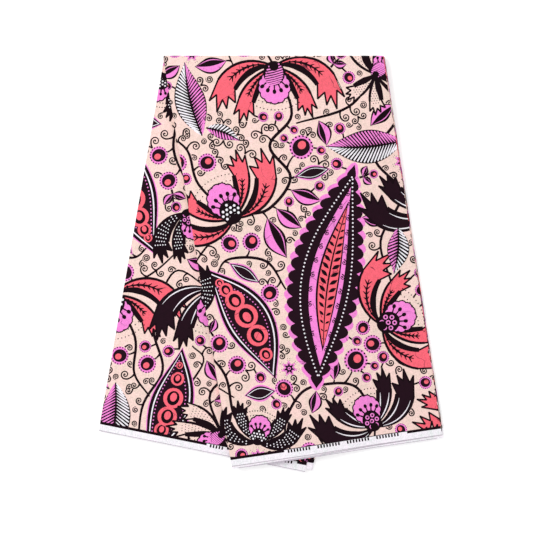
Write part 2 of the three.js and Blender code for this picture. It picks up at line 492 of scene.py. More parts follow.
def reserve_leaf(draw, place, turn, length, width, bow):
    reserve(draw, place, turn, leaf_discs(length, width, bow), length, width, bow)


def reserve_flower(place, turn, size, kind, seeds, petals=CUP):
    discs = np.array(CUP_DISCS if petals is CUP else SPRAY_DISCS) * size
    reserve(flower, place, turn, discs, size, kind, seeds, petals)


reserve_leaf(lobed_leaf, place=(138, 92), turn=-19, length=322, width=88, bow=14)
reserve_leaf(pod, place=(14, 276), turn=-157, length=172, width=60, bow=12)
reserve_leaf(pod, place=(392, 566), turn=172, length=158, width=54, bow=-10)
reserve_flower(place=(62, 346), turn=22, size=90, kind="coral", seeds="dots")
reserve_flower(place=(152, 550), turn=172, size=88, kind="coral", seeds="bars")
reserve_flower(place=(246, 166), turn=-72, size=86, kind="coral", seeds="rings")
reserve_flower(place=(344, 318), turn=14, size=88, kind="dark", seeds="dots")
reserve_flower(place=(360, 50), turn=50, size=80, kind="coral", seeds="bars")
reserve_flower(place=(292, 518), turn=-46, size=64, kind="outline", seeds="bars", petals=SPRAY)
reserve_flower(place=(212, 26), turn=16, size=78, kind="dark", seeds="rings")
reserve_flower(place=(398, 216), turn=36, size=66, kind="dotted", seeds="rings")
reserve_flower(place=(42, 30), turn=-20, size=62, kind="dotted", seeds="dots")
reserve_leaf(hatched_leaf, place=(318, 420), turn=86, length=112, width=48, bow=5)
reserve_leaf(hatched_leaf, place=(36, 468), turn=4, length=106, width=44, bow=5)
reserve_leaf(hatched_leaf, place=(290, 300), turn=166, length=66, width=32, bow=3)

# What stands on a vine's side shoots by turns, with how long its own stem is.
SHOOTS = (
    {"what": "split", "stem": 12, "size": 60},
    {"what": "berry", "stem": 22, "size": 17},
    {"what": "split", "stem": 9, "size": 54},
    {"what": "curl", "stem": 10, "size": 14},
    {"what": "dark", "stem": 10, "size": 62},
    {"what": "split", "stem": 10, "size": 50},
    {"what": "berry", "stem": 28, "size": 18},
    {"what": "curl", "stem": 8, "size": 12},
    {"what": "dark", "stem": 8, "size": 50},
)
# What is tried in its place, by turns, where there is no room for it.
SMALLER = (
    {"what": "split", "stem": 7, "size": 44},
    {"what": "berry", "stem": 12, "size": 13},
    {"what": "split", "stem": 5, "size": 32},
    {"what": "curl", "stem": 8, "size": 13},
    {"what": "curl", "stem": 5, "size": 10},
)


def shoot_discs(what, size):
    if what == "berry":
        return [(0, size * 0.9, size * 1.05)]
    if what == "curl":
        return [(-size * 0.35, size * 0.7, size * 0.62)]
    return leaf_discs(size, size * 0.44)


def draw_shoot(what, pen, size):
    if what == "berry":
        berry(pen.at((0, size * 0.9)), size)
    elif what == "curl":
        curl(pen, size * 0.7, 150, size * 0.42)
    elif what == "split":
        split_leaf(pen, size, size * 0.42)
    else:
        dark_leaf(pen, size, size * 0.34)


# Each vine takes this much room to its sides. Its shoots stand so far apart on each side, turn
# away by so many degrees, bend by so many more, and keep this clear of the rest.
VINE_ROOM = 3.0
SHOOT_GAP = 16.0
SHOOT_TURN = 52
SHOOT_BEND = 26
SHOOT_CLEAR = 0.8
STEM_CLEAR = 1.0
vines = []


def vine(knots, width, first):
    """A stem through the knots, drawn under all the shoots. first is its first kind of shoot."""
    line = curve(*knots)
    Pen().line("black", line, width * 0.5, width, width, width * 0.6)
    discs = [(x, y, VINE_ROOM) for x, y in spaced(line, 5)]
    vines.append({"line": line, "first": first, "discs": discs})


def grow(vine):
    """Finds the shoots on both sides of a vine that there is room for, and draws their stems."""
    line = vine["line"]
    others = np.concatenate([other["discs"] for other in vines if other is not vine])
    grown = []
    for i, point in enumerate(spaced(line, SHOOT_GAP, SHOOT_GAP * 0.6)):
        k = int(np.clip(np.argmin(np.linalg.norm(line - point, axis=1)), 1, len(line) - 2))
        onward = line[k + 1] - line[k - 1]
        heading = math.degrees(math.atan2(onward[1], onward[0])) - 90
        for side in (-1, 1):
            wanted = SHOOTS[(vine["first"] + 2 * i + (side > 0)) % len(SHOOTS)]
            for each in (wanted, *SMALLER):
                pen = Pen(point, heading + SHOOT_TURN * side, 1, side < 0)
                stem = bent(each["stem"], SHOOT_BEND, 7)
                end = pen.at(stem[-1], SHOOT_BEND)
                discs = shoot_discs(each["what"], each["size"])
                reach = np.array([radius for _, _, radius in discs])
                clear = room.left([end.on(disc[:2]) for disc in discs], others) - reach
                beside_stem = room.left(pen.on(stem[4:]), others)
                if clear.min() > SHOOT_CLEAR and beside_stem.min() > STEM_CLEAR:
                    pen.line("black", stem, 2.2, 1.5, 1.3)
                    room.take(end, discs)
                    grown.append((each["what"], end, each["size"]))
                    break
    room.take(Pen(), vine["discs"])
    return grown


vine(((-20, 270), (10, 306), (62, 346), (112, 352), (150, 392), (128, 440), (166, 480),
      (152, 550), (130, 600)), width=2.6, first=0)
vine(((322, 600), (296, 556), (292, 518), (318, 462), (272, 404), (302, 346), (262, 284),
      (268, 214), (246, 166)), width=2.4, first=3)
vine(((96, -20), (84, 40), (112, 86), (150, 96), (196, 84), (212, 26), (196, -20)), width=2.4,
     first=5)
vine(((440, 96), (408, 120), (366, 130), (330, 170), (322, 250), (344, 318)), width=2.4,
     first=2)
vine(((344, 318), (400, 300), (416, 380), (392, 440), (412, 500), (400, 600)), width=2.3,
     first=4)
vine(((322, 600), (340, 520), (358, 480), (336, 420), (356, 400)), width=2.1, first=1)
vine(((286, -20), (300, 20), (360, 50), (318, 96), (262, 110), (246, 166)), width=2.1, first=0)
vine(((22, 268), (44, 290), (96, 280), (118, 236)), width=2.4, first=6)
vine(((42, 30), (16, 70), (12, 130), (-20, 180)), width=2.4, first=2)
vine(((292, 518), (246, 478), (170, 466)), width=2.3, first=4)
vine(((62, 346), (20, 400), (12, 450), (-16, 480)), width=2.3, first=7)

for what, end, size in [shoot for each in vines for shoot in grow(each)]:
    draw_shoot(what, end, size)


# The chart is the repeat in cells, which hold the number of the topmost ink, or BARE.
CHART_CELL = 1.5
CHART_SIZE = np.array((round(REPEAT_ACROSS / CHART_CELL), round(REPEAT_ALONG / CHART_CELL)))
INK_NAMES = list(INKS)
BARE = -1
chart = np.full(CHART_SIZE, BARE)


def mark(marked):
    """Marks shapes on the chart."""
    for ink, points in marked:
        low = np.floor(points.min(axis=0) / CHART_CELL).astype(int)
        high = np.ceil(points.max(axis=0) / CHART_CELL).astype(int)
        columns, rows = np.meshgrid(*(np.arange(a, b) for a, b in zip(low, high)), indexing="ij")
        x, y = ((cells[..., None] + 0.5) * CHART_CELL for cells in (columns, rows))
        x1, y1 = points.T
        x2, y2 = np.roll(points, -1, axis=0).T
        crossed = ((y1 > y) != (y2 > y)) & (x < x1 + (y - y1) / (y2 - y1 + 1e-9) * (x2 - x1))
        inside = crossed.sum(axis=-1) % 2 == 1
        cells = columns[inside] % CHART_SIZE[0], rows[inside] % CHART_SIZE[1]
        chart[cells] = INK_NAMES.index(ink)


def room_on_chart(widest=32):
    """How far each cell is from the nearest ink, up to so many cells."""
    squared = np.where(chart == BARE, 1e6, 0.0)
    for axis in (0, 1):
        shifted = [np.roll(squared, hop, axis) + hop**2 for hop in range(-widest, widest + 1)]
        squared = np.min(shifted, axis=0)
    return np.sqrt(squared) * CHART_CELL


def sprig(pen, size):
    """A short stem with a berry on top, a leaf to each side, and curls between."""
    pen.line("black", bent(size * 1.3, 16, 6) - (0, size), 2.0, 1.6, 1.4)
    for side in (-1, 1):
        shoot = pen.at((0, -size * 0.62), 54 * side, 1, side < 0)
        split_leaf(shoot, size * 1.15, size * 0.46)
        curl(pen.at((0, -size * 0.3), 24 * side, 1, side < 0), size * 0.3, 130, size * 0.16)
    berry(pen.at((0, size * 0.5)), size * 0.46)


# The narrowest gaps, by their radius, that a hatched leaf, a star, a sprig and a berry fit in.
HATCHED_GAP = 24
STAR_GAP = 15
SPRIG_GAP = 14
BERRY_GAP = 8.5


def filler(pen, gap, pick):
    """A small motif that fits in a round gap, and stands on the ink nearest to it. gap is the
    gap's radius, and pick, from 0 to 1, chooses among what fits."""
    if gap > HATCHED_GAP:
        hatched_leaf(pen.at((0, -gap * 0.95)), gap * 1.9, gap * 0.8, 3)
    elif gap > STAR_GAP and pick < 0.2:
        star_flower(pen, gap * 0.55)
    elif gap > SPRIG_GAP and pick < 0.45:
        sprig(pen, gap)
    elif gap > SPRIG_GAP:
        draw_leaf = split_leaf if pick < 0.8 else dark_leaf
        draw_leaf(pen.at((0, -gap)), gap * 1.9, gap * 0.85)
    elif gap > BERRY_GAP and pick < 0.75:
        pen.line("black", ((0, -gap * 1.1), (gap * 0.1, -gap * 0.6), (0, 0)), 1.6, 1.3)
        berry(pen.at((0, gap * 0.2)), gap * 0.74)
    elif gap < BERRY_GAP and pick < 0.2:
        whorl(pen, gap * 0.7)
    elif gap < BERRY_GAP:
        curl(pen.at((0, -gap)), gap * 0.9, 90, gap * 0.58)
    else:
        for turn in (60, -60):
            coil = pen.at((0, -gap), turn * 0.2, 1, turn < 0)
            curl(coil, gap * 0.8, 100, gap * 0.44)


def fill_gaps(seed):
    """Fillers on what ground is left, in the widest gaps first, to ever smaller ones."""
    widest, middling, narrowest = 14.0, 9.0, 7.2
    chance = random.Random(seed)
    hops = [np.minimum(np.arange(size), size - np.arange(size)) for size in CHART_SIZE]
    far_from_corner = np.hypot(hops[0][:, None], hops[1]) * CHART_CELL
    for least in (widest, middling, narrowest):
        free = room_on_chart()
        while free.max() > least:
            here = np.array(np.unravel_index(free.argmax(), free.shape))
            gap = free.max() - 1
            far = np.roll(far_from_corner, here, (0, 1))
            nearest = np.unravel_index(np.where(chart == BARE, np.inf, far).argmin(), far.shape)
            away = (here - nearest + CHART_SIZE // 2) % CHART_SIZE - CHART_SIZE // 2
            heading = math.degrees(math.atan2(away[1], away[0])) - 90
            pen = Pen((here + 0.5) * CHART_CELL, heading, 1, chance.random() < 0.5)
            drawn = len(shapes)
            filler(pen, gap, chance.random())
            mark(shapes[drawn:])
            free = np.minimum(free, far - gap * 0.95)


# The large motifs go over the stems and shoots, and the fillers on what ground is left.
for draw, pen, sizes in large:
    draw(pen, *sizes)
mark(shapes)
fill_gaps(seed=5)
design = list(shapes)

# The folded pack
# The cloth is pleated back and forth into eighteen layers, and the pack is then folded once in
# the middle, so that a front leg lies on a back leg. These functions carry a point of a layer
# from the flat cloth to its place in the pack, with the soft creases of cloth that was handled.
MM = 0.001
LAYERS = 18
LAYER_WIDTH = 306.0
CLOTH = 0.3
LEGS_GAP = 0.4
# The front leg comes down off the back leg in a slope this wide, which starts a little beside it.
DROP = 80.0
DROP_MARGIN = 3.5
# How far each leg's left and right sides lean to the right, in degrees, and how long they are.
LEGS = {
    "front": {"lean": (9.5, 8.95), "length": (583.0, 538.0)},
    "back": {"lean": (-9.95, -9.95), "length": (533.0, 590.0)},
}
turn_low, turn_high = (np.array(corner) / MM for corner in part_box("outer_turn"))
FOLD_MIDDLE = np.array(((turn_low[0] + turn_high[0]) / 2, turn_low[1]))
HALF_FOLD = (turn_high[0] - turn_low[0]) / 2
TURN_DEPTH = turn_high[1] - turn_low[1]
PACK = (turn_high[2] - LEGS_GAP) / 2
PITCH = PACK / LAYERS
LIFT = PACK + LEGS_GAP
TURN_HEIGHT = PACK + LEGS_GAP / 2
ARC_PER_RADIUS = math.pi * (1 + TURN_DEPTH / TURN_HEIGHT) / 2


def side_point(leg, side, distance):
    """The plan point on a leg's left side, 0, or right side, 1, at a distance from the fold."""
    lean = math.radians(LEGS[leg]["lean"][side])
    start = HALF_FOLD * (2 * side - 1)
    x = start + distance * math.sin(lean)
    return np.stack((x, -distance * math.cos(lean)), -1)


def fold_at(leg, x):
    """How far the folded edge is from a leg's selvedge, at x across a layer."""
    left, right = LEGS[leg]["length"]
    return left + (right - left) * x / LAYER_WIDTH


def past_line(point, start, end):
    """How far plan points are to the right of a line."""
    onward = (end - start) / np.linalg.norm(end - start)
    apart = point - start
    return apart[..., 0] * onward[1] - apart[..., 1] * onward[0]


BACK_RIGHT = side_point("back", 1, LEGS["back"]["length"][1])
BACK_TOP = side_point("back", 1, 0.0)
BACK_LEFT = side_point("back", 0, LEGS["back"]["length"][0])


def smooth(value):
    """Eases from 0 to 1."""
    value = np.clip(value, 0, 1)
    return value * value * (3 - 2 * value)


def lift(plan):
    """How high the front leg's underside is: on the back leg, or on its way down beside it."""
    past = np.maximum(past_line(plan, BACK_RIGHT, BACK_TOP), past_line(plan, BACK_LEFT, BACK_RIGHT))
    return LIFT * (1 - smooth((past - DROP_MARGIN) / DROP))


def make_creases(seed, count, height):
    """Soft creases on a leg: where each starts, which way it goes, how it bends, and how long,
    wide and high it is. Most go up the leg, or slant across it."""
    highest_start = 560
    chance = random.Random(seed)
    creases = []
    for _ in range(count):
        start = np.array((chance.uniform(0, LAYER_WIDTH), chance.uniform(0, highest_start)))
        upward, slanting = chance.gauss(90, 14), chance.gauss(25, 30)
        heading = math.radians(chance.choice((upward, slanting)))
        onward = np.array((math.cos(heading), math.sin(heading)))
        size = {"long": chance.uniform(50, 210), "wide": chance.uniform(8, 18)}
        size["high"] = height * chance.choice((-0.5, 1)) * chance.uniform(0.3, 1)
        creases.append((start, onward, chance.uniform(-0.002, 0.002), size))
    return creases


CREASES = {
    "front": make_creases(seed=11, count=34, height=0.8),
    "back": make_creases(seed=23, count=30, height=0.32),
}


def crease(leg, x, y):
    """How far the creases raise the top of a leg, which also swells a little all over."""
    swell_across = 0.18 * np.sin(x / 47 + 1.1 * np.sin(y / 83))
    swell_upward = 0.16 * np.sin(y / 61 + x / 130)
    height = swell_across + swell_upward
    for start, onward, bend, size in CREASES[leg]:
        ahead = (x - start[0]) * onward[0] + (y - start[1]) * onward[1]
        aside = (y - start[1]) * onward[0] - (x - start[0]) * onward[1] + bend * ahead**2
        fade = np.exp(-((ahead / size["long"] * 2) ** 4))
        height = height + size["high"] * fade * np.exp(-((aside / size["wide"]) ** 2))
    return height


# The creases fade out this close to the folded edge, which is pressed.
PRESSED = 25.0


def on_pack(leg, x, y, level):
    """Where a point of the folded cloth is: x across its layer, y from the leg's selvedge, and
    level from the innermost layer's surface, 0, to the outermost's. Past the folded edge, the
    front leg's layers go on round the turn."""
    x, y, level = np.broadcast_arrays(np.asarray(x, float), y, level)
    beyond = np.maximum(y - fold_at(leg, x), 0)
    y = y - beyond
    left, right = (side_point(leg, side, LEGS[leg]["length"][side] - y) for side in (0, 1))
    plan = left + (right - left) * (x / LAYER_WIDTH)[..., None]
    raised = crease(leg, x, y) * smooth((fold_at(leg, x) - y) / PRESSED)
    if leg == "back":
        height = PACK - level
        z = height + raised * height / PACK
    else:
        z = lift(plan) + level + raised * level / PACK
    radius = LEGS_GAP / 2 + level
    angle = math.pi / 2 - np.minimum(beyond / (ARC_PER_RADIUS * radius), 1) * math.pi
    round_turn = beyond > 0
    z = np.where(round_turn, TURN_HEIGHT + radius * np.sin(angle), z)
    depth = np.where(round_turn, TURN_DEPTH * radius / TURN_HEIGHT * np.cos(angle), 0)
    plan_y = plan[..., 1] + depth
    return np.stack((plan[..., 0] + FOLD_MIDDLE[0], plan_y + FOLD_MIDDLE[1], z), -1)


# The printed cotton
# A hard, smooth, close weave. The dyes lie a little unevenly on it, with thin cracks where the
# wax broke, and the finished cloth has a faint glaze.
class Value:
    """A shader's number, on which Python's operators do the maths."""

    def __init__(self, shader, socket):
        self.shader = shader
        self.socket = socket

    def __add__(self, other):
        return self.shader.maths("ADD", self, other)

    def __radd__(self, other):
        return self.shader.maths("ADD", other, self)

    def __sub__(self, other):
        return self.shader.maths("SUBTRACT", self, other)

    def __rsub__(self, other):
        return self.shader.maths("SUBTRACT", other, self)

    def __mul__(self, other):
        return self.shader.maths("MULTIPLY", self, other)

    def __rmul__(self, other):
        return self.shader.maths("MULTIPLY", other, self)


class Shader:
    """A material and its nodes."""

    def __init__(self, name):
        self.material = bpy.data.materials.new(name)
        self.material.use_nodes = True
        self.tree = self.material.node_tree
        self.surface = self.tree.nodes["Principled BSDF"]

    def node(self, kind, settings, inputs, output=0):
        """Adds a node: its type, its settings, then what its sockets hold or are linked to."""
        made = self.tree.nodes.new(kind)
        for name, value in settings.items():
            setattr(made, name, value)
        for name, value in inputs.items():
            self.set(made.inputs[name], value)
        return Value(self, made.outputs[output])

    def set(self, socket, value):
        if isinstance(value, Value):
            self.tree.links.new(value.socket, socket)
        else:
            socket.default_value = value

    def maths(self, operation, *values):
        return self.node("ShaderNodeMath", {"operation": operation}, dict(enumerate(values)))

    def ramp(self, value, low, high):
        """Eases from 0 to 1 as the value goes from low to high."""
        inputs = {"Value": value, "From Min": low, "From Max": high}
        return self.node("ShaderNodeMapRange", {"interpolation_type": "SMOOTHSTEP"}, inputs)

    def mix(self, factor, one, other, blend="MIX"):
        """Mixes two colours, for which a Mix node has inputs 6 and 7 and output 2."""
        settings = {"data_type": "RGBA", "blend_type": blend}
        return self.node("ShaderNodeMix", settings, {0: factor, 6: one, 7: other}, output=2)

    def stretch(self, place, across, along):
        """A place on the cloth, scaled across and along it."""
        inputs = {0: place, 1: (across, along, 1.0)}
        return self.node("ShaderNodeVectorMath", {"operation": "MULTIPLY"}, inputs)

    def noise(self, place, scale, detail=2.0, roughness=0.5):
        inputs = {"Vector": place, "Scale": scale, "Detail": detail, "Roughness": roughness}
        return self.node("ShaderNodeTexNoise", {}, inputs, output="Fac")

    def finish(self, **inputs):
        for name, value in inputs.items():
            self.set(self.surface.inputs[name.replace("_", " ")], value)
        return self.material


def linear(colour):
    """A display colour, 0 to 255, as the light that it stands for."""
    share = np.array(colour) / 255
    light = np.where(share <= 0.04045, share / 12.92, ((share + 0.055) / 1.055) ** 2.4)
    return (*(float(part) for part in light), 1.0)


def printed_cotton():
    """The cloth's one material, which takes its colours from the mesh's inks and its grain from
    the places on the flat cloth, in millimetres."""
    crack_colour = linear((60, 16, 40))
    thread_gap = 0.42
    shader = Shader("printed_cotton")
    ink = shader.node("ShaderNodeAttribute", {"attribute_name": "ink"}, {}, output="Color")
    flat = shader.node("ShaderNodeAttribute", {"attribute_name": "flat"}, {}, output="Vector")
    red = shader.node("ShaderNodeSeparateColor", {}, {0: ink}, output="Red")
    green = shader.node("ShaderNodeSeparateColor", {}, {0: ink}, output="Green")
    dyed = shader.ramp(red - green, 0.35, 0.6)

    cloudy = shader.noise(flat, 0.022, 3.0) - 0.5
    streaky = shader.noise(shader.stretch(flat, 0.9, 0.06), 1.0, 2.0) - 0.5
    mottled = shader.noise(flat, 0.16, 2.0) - 0.5
    speckled = shader.noise(flat, 0.55, 2.0) - 0.5
    tone = 0.98 + cloudy * 0.22 + streaky * 0.16 + mottled * 0.34 + speckled * 0.66
    pinker = mottled * 0.16 + cloudy * 0.16
    shade = shader.node(
        "ShaderNodeCombineColor", {}, {0: tone + pinker * 0.4, 1: tone - pinker, 2: tone}
    )
    colour = shader.mix(1.0, ink, shade, "MULTIPLY")

    wander = shader.noise(flat, 0.05, 2.0) * 14
    cracked = shader.node("ShaderNodeVectorMath", {"operation": "ADD"}, {0: flat, 1: wander})
    cells = shader.node(
        "ShaderNodeTexVoronoi",
        {"feature": "DISTANCE_TO_EDGE"},
        {"Vector": cracked, "Scale": 0.028},
        output="Distance",
    )
    line = 1 - shader.ramp(cells, 0.004, 0.014)
    broken = shader.ramp(shader.noise(flat, 0.04, 1.0), 0.5, 0.6)
    colour = shader.mix(line * broken * dyed * 0.75, colour, crack_colour)

    threads = []
    for turn in ((1, 0, 0), (0, 1, 0)):
        reach = shader.node(
            "ShaderNodeVectorMath", {"operation": "DOT_PRODUCT"}, {0: flat, 1: turn}, output="Value"
        )
        threads.append(shader.maths("SINE", reach * (math.tau / thread_gap)))
    weave = threads[0] * threads[1] * 0.02
    slubs = shader.noise(shader.stretch(flat, 0.22, 2.4), 1.0, 2.0) * 0.05
    crumple = shader.noise(flat, 0.06, 3.0, 0.55) * 0.9
    height = weave + slubs + crumple
    normal = shader.node(
        "ShaderNodeBump", {}, {"Strength": 0.55, "Distance": MM, "Height": height}, output="Normal"
    )
    roughness = 0.68 + speckled * 0.14 + dyed * 0.05
    shader.surface.inputs["Specular IOR Level"].default_value = 0.08
    return shader.finish(Base_Color=colour, Roughness=roughness, Normal=normal)


COTTON = printed_cotton()
# The inks as the mesh holds them.
INK_LIGHT = {name: linear(colour) for name, colour in INKS.items()}


def make_mesh(name, parts):
    """A mesh of parts. Each has its points, its faces as rows of one length, its inks, its flat
    places on the cloth, and its normals, or None where its faces are shaded flat."""
    points = np.concatenate([part["points"] for part in parts]) * MM
    flat = np.concatenate([part["flat"] for part in parts])
    corners, sizes, inks, normals = [], [], [], []
    first = 0
    for part in parts:
        faces = np.asarray(part["faces"])
        corners.append((faces + first).ravel())
        sizes.append(np.full(len(faces), faces.shape[1]))
        inks.append(np.broadcast_to(part["inks"], (len(faces), 4)))
        if part["normals"] is None:
            spots = part["points"][faces]
            across = np.cross(spots[:, 1] - spots[:, 0], spots[:, -1] - spots[:, 0])
            length = np.linalg.norm(across, axis=1)[:, None] + 1e-12
            normals.append(np.repeat(across / length, faces.shape[1], axis=0))
        else:
            normals.append(part["normals"][faces.ravel()])
        first += len(part["points"])
    corners, sizes = np.concatenate(corners), np.concatenate(sizes)

    mesh = bpy.data.meshes.new(name)
    mesh.vertices.add(len(points))
    mesh.vertices.foreach_set("co", points.ravel())
    mesh.loops.add(len(corners))
    mesh.loops.foreach_set("vertex_index", corners)
    mesh.polygons.add(len(sizes))
    mesh.polygons.foreach_set("loop_start", np.concatenate(((0,), np.cumsum(sizes)[:-1])))
    mesh.polygons.foreach_set("use_smooth", np.ones(len(sizes), bool))
    mesh.update(calc_edges=True)
    ink = mesh.attributes.new("ink", "FLOAT_COLOR", "FACE")
    ink.data.foreach_set("color", np.concatenate(inks).astype(np.float32).ravel())
    places = mesh.attributes.new("flat", "FLOAT_VECTOR", "POINT")
    flat = np.column_stack((flat, np.zeros(len(flat))))
    places.data.foreach_set("vector", flat.astype(np.float32).ravel())
    mesh.normals_split_custom_set(np.concatenate(normals).tolist())
    mesh.materials.append(COTTON)
    piece = bpy.data.objects.new(name, mesh)
    bpy.context.scene.collection.objects.link(piece)
    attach(piece, "root")
    return piece


# The cloth at a layer's right side curls round to the next layer, and its tail goes back in.
CURL = PITCH / 2
CURL_LENGTH = math.pi * CURL
TAIL = 6.0
LEAF_WIDTH = LAYER_WIDTH + CURL_LENGTH + TAIL


def curled(x):
    """Where a flat place across a layer is, and how far it is below the layer's surface."""
    round_curl = np.clip((x - LAYER_WIDTH) / CURL_LENGTH, 0, 1) * math.pi
    tail = np.maximum(x - LAYER_WIDTH - CURL_LENGTH, 0)
    across = np.minimum(x, LAYER_WIDTH) + CURL * np.sin(round_curl) - tail
    return across, CURL * (1 - np.cos(round_curl))


def normals_of(place, flat, depth):
    """The normals of the surface that place makes of the flat cloth, on its upper side, from
    how it goes a small step away."""
    step = 0.02
    right = place(flat + (step, 0), depth) - place(flat - (step, 0), depth)
    up = place(flat + (0, step), depth) - place(flat - (0, step), depth)
    normal = np.cross(right, up)
    return normal / (np.linalg.norm(normal, axis=1)[:, None] + 1e-12)


def turned_left(points):
    """The points of a shape in anticlockwise order."""
    x, y = points[:, 0], points[:, 1]
    return points if np.sum(x * np.roll(y, -1) - y * np.roll(x, -1)) > 0 else points[::-1]


def shapes_in(window, high, shows):
    """The design's shapes that reach into a layer, as they lie there. window carries places on
    the repeat to the layer, high is its right and top, and shows leaves out what is hidden."""
    found = []
    for ink, points in design:
        for across in (-1, 0, 1, 2):
            for upward in (-1, 0, 1, 2):
                moved = window(points + (across * REPEAT_ACROSS, upward * REPEAT_ALONG))
                least, most = moved.min(axis=0), moved.max(axis=0)
                if (least < high).all() and (most > 0).all():
                    if shows is None or shows(least, most):
                        found.append((ink, moved))
    return found


# How far up the cloth the black band, the white selvedge and the grey line of painted shade along
# its edge go. A later one lies over the ones before it.
SELVEDGE_BLACK = 13.4
SELVEDGE_WHITE = 9.5
SELVEDGE_SHADE_LINE = 1.1
BANDS = (("black", SELVEDGE_BLACK), ("white", SELVEDGE_WHITE), ("edge", SELVEDGE_SHADE_LINE))
# Each band goes on past the cloth, the first one furthest, so that no edge lies on the cloth's.
FURTHEST = 9
# The line left over a notch, how far the notch goes into the white, how far from its ends its
# bars start and stop, and the bars: eight, then room for two more.
NOTCH_LINE = 1.0
NOTCH_DROP = 0.5
BARS_START = 5
BARS_STOP = 6
BAR_GAP = 4.3
BAR_WIDTH = 2.3
BAR_LOW = 7.8
BAR_HIGH = 12.2
BARS = 8
BARS_AND_SPACE = 10


def selvedge(notches):
    """The plain white selvedge, with a grey line of painted shade along its edge, and the black
    band above it. The band has white notches from one place to another, with a thin line over them
    and groups of plain bars in them."""
    found = []

    def bar(ink, left, right, low, high):
        corners = ((left, low), (right, low), (right, high), (left, high))
        found.append((ink, np.array(corners, float)))

    for i, (ink, high) in enumerate(BANDS):
        past = FURTHEST - i
        bar(ink, -past, LEAF_WIDTH + past, -past, high)
    for left, right in notches:
        bar("white", left, right, SELVEDGE_WHITE - NOTCH_DROP, SELVEDGE_BLACK - NOTCH_LINE)
        for i, place in enumerate(np.arange(left + BARS_START, right - BARS_STOP, BAR_GAP)):
            if i % BARS_AND_SPACE < BARS:
                bar("black", place, place + BAR_WIDTH, BAR_LOW, BAR_HIGH)
    return found


def flat_pieces(outline_points, drawn, lines, spots):
    """Cuts a layer into triangles along its drawn shapes and the lines, with points at spots.
    Returns its places, its triangles, and the number of the topmost shape on each, where 0 is
    the bare layer."""
    everything, same_place = 0, 1e-4
    verts = list(outline_points)
    faces = [list(range(len(verts)))]
    for _, points in drawn:
        points = turned_left(points)
        faces.append(list(range(len(verts), len(verts) + len(points))))
        verts.extend(points)
    edges = []
    for start, end in lines:
        edges.append((len(verts), len(verts) + 1))
        verts.extend((start, end))
    verts.extend(spots)
    verts = [tuple(map(float, spot)) for spot in verts]
    cut_verts, _, cut_faces, _, _, sources = delaunay_2d_cdt(
        verts, edges, faces, everything, same_place, True
    )
    kept, top = [], []
    for face, origins in zip(cut_faces, sources):
        if 0 in origins:
            kept.append(face)
            top.append(max(origins))
    used, triangles = np.unique(np.array(kept), return_inverse=True)
    places = np.array([cut_verts[i] for i in used])
    return places, triangles.reshape(-1, 3), np.array(top)


def rim_of(triangles):
    """The triangles' open edges, in order round the layer."""
    edges = np.concatenate((triangles[:, :2], triangles[:, 1:], triangles[:, ::2][:, ::-1]))
    known = set(map(tuple, edges.tolist()))
    following = {a: b for a, b in known if (b, a) not in known}
    rim = [next(iter(following))]
    while following[rim[-1]] != rim[0]:
        rim.append(following[rim[-1]])
    return np.array(rim)


def grid(high, gap):
    """Evenly spaced points on a layer."""
    across = np.arange(gap / 2, LAYER_WIDTH, gap)
    upward = np.arange(gap / 2, high, gap)
    return np.stack(np.meshgrid(across, upward), -1).reshape(-1, 2)


# A layer bends along this many lines round its curl, has this many points along each side, and
# its inner face, which is hidden, has its points this far apart.
CURL_LINES = 6
SIDE_POINTS = 90
UNDER_GAP = 8


def layer_of_cloth(
    name, place, top, window, notches, gap, shows=None, lines=(), face_down=False
):
    """A layer of cloth as a closed piece. place carries a flat place and a depth into the cloth
    to the pack, top is how far up the layer goes at its left and right, window and shows find
    its print, notches are its selvedge's, gap is how far apart its points are, and lines are
    where else it bends."""
    high = max(top)
    drawn = shapes_in(window, (LEAF_WIDTH, high), shows) + selvedge(notches)
    curl_steps = LAYER_WIDTH + CURL_LENGTH * np.linspace(0, 1, CURL_LINES)
    lines = [((x, -1), (x, high + 1)) for x in curl_steps] + list(lines)
    on_curl = [(x, y) for x in curl_steps for y in np.arange(gap / 2, high, gap)]
    spots = np.concatenate((grid(high, gap), on_curl))
    coarse = np.concatenate((grid(high, UNDER_GAP), on_curl))
    sides = np.linspace(0, 1, SIDE_POINTS)[:, None]
    corners = np.array(((0, 0), (LEAF_WIDTH, 0), (LEAF_WIDTH, top[1]), (0, top[0])), float)
    outline_points = np.concatenate([
        toward(a, b, sides)[:-1] for a, b in zip(corners, np.roll(corners, -1, axis=0))
    ])
    flat, triangles, topmost = flat_pieces(outline_points, drawn, lines, spots)
    inks = np.array([INK_LIGHT["ground"], *[INK_LIGHT[ink] for ink, _ in drawn]])[topmost]
    rim = rim_of(triangles)
    under_flat, under, _ = flat_pieces(flat[rim], [], lines, coarse)

    side = -1 if face_down else 1
    edge = np.concatenate((place(flat[rim], 0), place(flat[rim], CLOTH)))
    count = len(rim)
    here = np.arange(count)
    after = (here + 1) % count
    rim_faces = np.stack((after, here, here + count, after + count), 1)[:, ::side]
    parts = [
        {"points": place(flat, 0), "flat": flat, "faces": triangles[:, ::side], "inks": inks,
         "normals": normals_of(place, flat, 0) * side},
        {"points": place(under_flat, CLOTH), "flat": under_flat, "faces": under[:, ::-side],
         "inks": INK_LIGHT["ground"], "normals": normals_of(place, under_flat, CLOTH) * -side},
        {"points": edge, "flat": np.tile(flat[rim], (2, 1)), "faces": rim_faces,
         "inks": INK_LIGHT["ground"], "normals": None},
    ]
    return make_mesh(name, parts)


# The front leg's top layer
# The one layer that shows whole. Its left side is the cloth's cut end, its right side curls down
# to the next layer, its selvedge is across the bottom, and at the top it goes round the turn.
OUTER_ARC = ARC_PER_RADIUS * (LEGS_GAP / 2 + PACK)
front_left, front_right = LEGS["front"]["length"]


def place_front(flat, depth):
    x, down = curled(flat[:, 0])
    return on_pack("front", x, flat[:, 1], PACK - down - depth)


